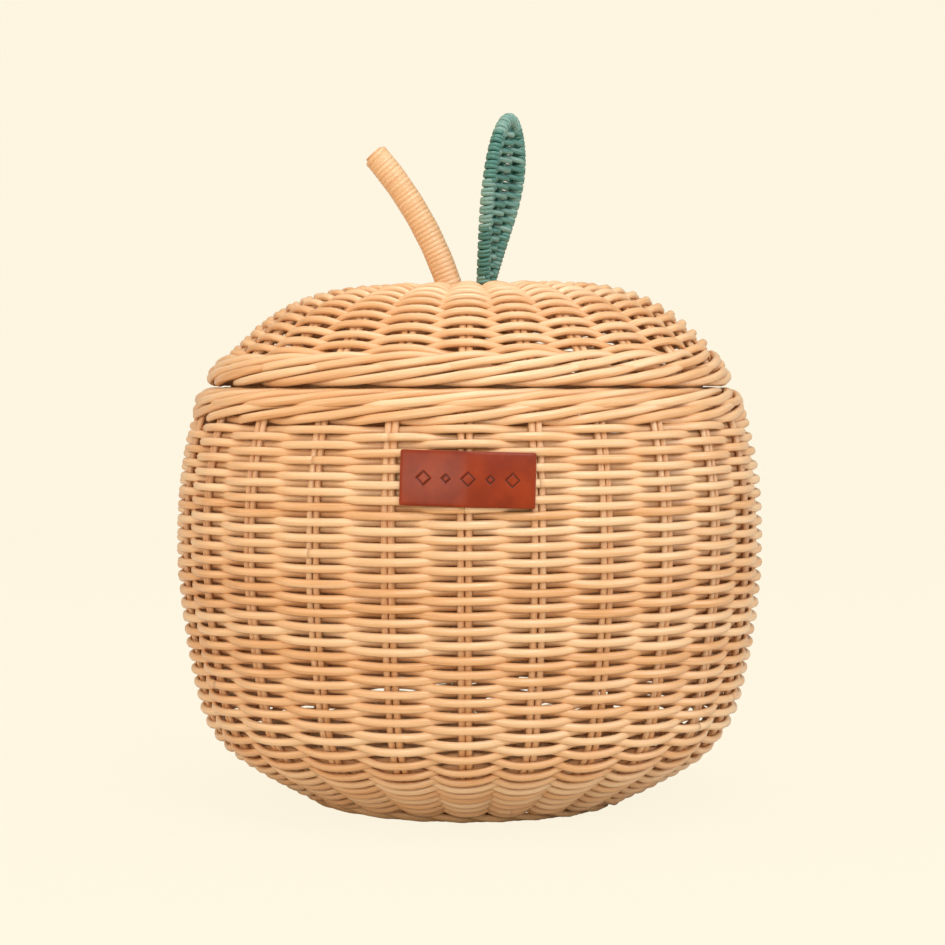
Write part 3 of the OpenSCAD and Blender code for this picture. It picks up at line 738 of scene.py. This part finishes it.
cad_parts["leaf_binding"].data.materials.append(dyed)

# ---------------------------------------------------------------------------------------------
# Floor, light and camera
# A pale sweep of paper, a softbox above and right of the camera and one overhead, a small one at
# the front left for the leather's sheen, and weak ones at both sides, warm on the left.
# ---------------------------------------------------------------------------------------------

PAPER, BACKLIT_SHARE = "#FEF6E1", 0.93
SWEEP_HALF_W, SWEEP_FRONT, SWEEP_BACK, SWEEP_R, SWEEP_TOP = 14.0, -14.0, 1.5, 1.0, 4.0
bpy.ops.object.select_all(action="DESELECT")
bpy.ops.mesh.primitive_plane_add(size=1, location=(0, 0, floor_z))
paper = bpy.context.object
paper.name = "paper_sweep"
paper.data.transform(paper.matrix_world)
paper.matrix_world.identity()
curve = [(SWEEP_BACK + SWEEP_R * math.sin(a), SWEEP_R - SWEEP_R * math.cos(a))
         for a in np.radians(np.linspace(6, 90, 15))]
profile = [(SWEEP_FRONT, 0.0), (SWEEP_BACK, 0.0)] + curve + [(SWEEP_BACK + SWEEP_R, SWEEP_TOP)]
sweep_spots = [(x, y, z) for y, z in profile for x in (-SWEEP_HALF_W, SWEEP_HALF_W)]
sweep_faces = [(2 * i, 2 * i + 1, 2 * i + 3, 2 * i + 2) for i in range(len(profile) - 1)]
paper.data.clear_geometry()
paper.data.from_pydata(sweep_spots, [], sweep_faces)
paper.data.polygons.foreach_set("use_smooth", [True] * len(sweep_faces))
# Backlit, so the sweep shows one even cream and only a faint shadow.
paper_material = bpy.data.materials.new("backlit_studio_paper")
paper_material.use_nodes = True
tree = paper_material.node_tree
lit = tree.nodes["Principled BSDF"]
lit.inputs["Base Color"].default_value = linear("#CFC8B8")
lit.inputs["Roughness"].default_value = 0.9
glow = add_node(tree, "ShaderNodeEmission", Color=linear(PAPER), Strength=1.03)
seen = add_node(tree, "ShaderNodeLightPath")
share = add_node(tree, "ShaderNodeMath", {"operation": "MULTIPLY"}, {0: seen.outputs["Is Camera Ray"]})
share.inputs[1].default_value = BACKLIT_SHARE
both = add_node(tree, "ShaderNodeMixShader", None,
                {0: share.outputs[0], 1: lit.outputs[0], 2: glow.outputs[0]})
tree.links.new(both.outputs[0], tree.nodes["Material Output"].inputs["Surface"])
paper.data.materials.append(paper_material)

scene = bpy.context.scene
scene.view_settings.view_transform = "Standard"
world = bpy.data.worlds.new("studio_fill")
world.use_nodes = True
world.node_tree.nodes["Background"].inputs["Color"].default_value = linear("#FFFBF5")
world.node_tree.nodes["Background"].inputs["Strength"].default_value = 0.84
scene.world = world


def soft_light(name, location, aim, size, power, colour):
    """A square softbox that faces a point."""
    data = bpy.data.lights.new(name, "AREA")
    data.shape, data.size, data.energy, data.color = "SQUARE", size, power, linear(colour)[:3]
    lamp = bpy.data.objects.new(name, data)
    scene.collection.objects.link(lamp)
    lamp.location = location
    way = np.array(aim) - np.array(location)
    lamp.rotation_euler = (math.atan2(math.hypot(way[0], way[1]), -way[2]), 0,
                           math.atan2(way[1], way[0]) - math.pi / 2)
    return lamp


soft_light("key", (0.45, -1.2, 1.15), (0, 0, 0.12), 0.6, 7.0, "#FFFFFF")
soft_light("overhead", (0.0, -0.1, 1.7), (0, 0, 0.2), 1.1, 8.2, "#FFFFFF")
soft_light("left", (-0.34, -1.3, 0.43), (0, 0, 0.12), 0.3, 2.8, "#FFEFDC")
soft_light("left_side", (-1.4, -0.2, 0.5), (0, 0, 0.12), 0.9, 3.6, "#FFCB90")
soft_light("right_side", (1.4, -0.4, 0.6), (0, 0, 0.12), 0.9, 4.2, "#EFF4FF")

CAMERA_BACK, CAMERA_UP, CAMERA_SIDE, CAMERA_DOWN = 0.970, 0.174, 0.0014, 2.28
camera_data = bpy.data.cameras.new("camera")
camera_data.sensor_width = 36
camera_data.lens = 88.5
camera = bpy.data.objects.new("camera", camera_data)
scene.collection.objects.link(camera)
camera.location = (CAMERA_SIDE, -CAMERA_BACK, CAMERA_UP)
camera.rotation_euler = (math.radians(90 - CAMERA_DOWN), 0, 0)
scene.camera = camera
